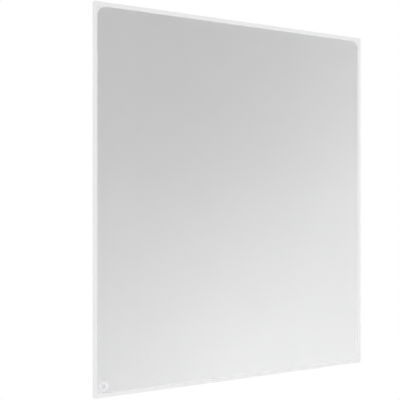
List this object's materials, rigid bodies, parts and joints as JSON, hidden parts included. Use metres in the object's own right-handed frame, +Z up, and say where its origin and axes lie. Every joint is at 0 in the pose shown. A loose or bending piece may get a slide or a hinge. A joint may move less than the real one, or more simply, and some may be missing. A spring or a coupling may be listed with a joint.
{
  "type": "window screen frame",
  "caption": "Framed insect screen: slim hollow rails, corner pieces rounded inside, a spline-held cloth, magnet strips behind and a pull ring at one corner.",
  "frame": {"origin": "middle of the lower edge, half way through the thickness", "axes": "+X to the right seen from the front, +Y from the front to the back, which faces the window, +Z up"},
  "size_m": [1.2, 0.01, 1.4],
  "materials": {
    "rail_plastic": "smooth satin white extrusion",
    "corner_plastic": "fine satin white moulding",
    "flexible_magnet": "dull dark filled strip",
    "screw_steel": "plated steel",
    "screen_cloth": "fine grey coated yarn, open plain weave",
    "spline_rubber": "dull grey cord",
    "ring_plastic": "soft white moulding"
  },
  "bodies": {
    "root": {"rail_bottom": "rail_plastic", "rail_top": "rail_plastic", "rail_left": "rail_plastic", "rail_right": "rail_plastic", "magnet_strip_bottom": "flexible_magnet", "magnet_strip_top": "flexible_magnet", "magnet_strip_left": "flexible_magnet", "magnet_strip_right": "flexible_magnet", "corner_bottom_left": "corner_plastic", "corner_bottom_right": "corner_plastic", "corner_top_left": "corner_plastic", "corner_top_right": "corner_plastic", "corner_lid_bottom_left": "corner_plastic", "corner_lid_bottom_right": "corner_plastic", "corner_lid_top_left": "corner_plastic", "corner_lid_top_right": "corner_plastic", "corner_screw_bottom_left": "screw_steel", "corner_screw_bottom_right": "screw_steel", "corner_screw_top_left": "screw_steel", "corner_screw_top_right": "screw_steel", "screen_cloth": "screen_cloth", "retaining_spline": "spline_rubber", "pull_ring": "ring_plastic"}
  },
  "joints": []
}
